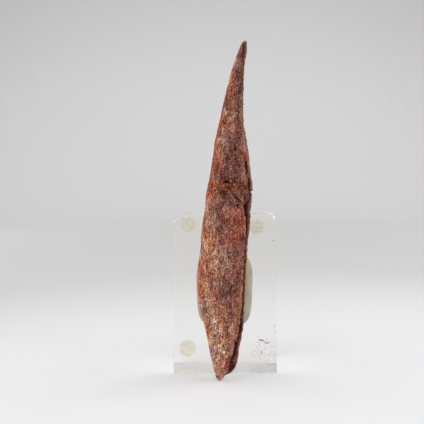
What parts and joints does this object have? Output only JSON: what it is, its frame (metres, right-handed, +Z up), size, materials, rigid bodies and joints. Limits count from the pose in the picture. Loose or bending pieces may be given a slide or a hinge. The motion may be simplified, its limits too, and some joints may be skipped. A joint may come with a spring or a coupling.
{
  "type": "fossil fish fin spine on clear block stand",
  "caption": "Long tapered fossil fin spine of a shark-like fish, grooved along its rear edge, held by putty to the face of an upright clear acrylic block with rubber feet.",
  "frame": {"origin": "middle of the block's bottom face, on the surface that it stands on", "axes": "+Z up along the block's and the spine's length, -Y towards the side that carries the spine, +X to the right when that side is looked at"},
  "size_m": [0.05, 0.0448, 0.159],
  "materials": {
    "acrylic_block": "clear cast acrylic with polished faces",
    "rubber_foot": "milky, slightly yellowed soft rubber",
    "putty_pad": "matte grey-beige adhesive putty",
    "fin_spine": "dull reddish-brown fossil bone, finely fibrous and pitted"
  },
  "bodies": {
    "root": {"acrylic_block": "acrylic_block", "foot_top_left": "rubber_foot", "foot_top_right": "rubber_foot", "foot_bottom_left": "rubber_foot", "putty_pad": "putty_pad", "fin_spine": "fin_spine"}
  },
  "joints": []
}
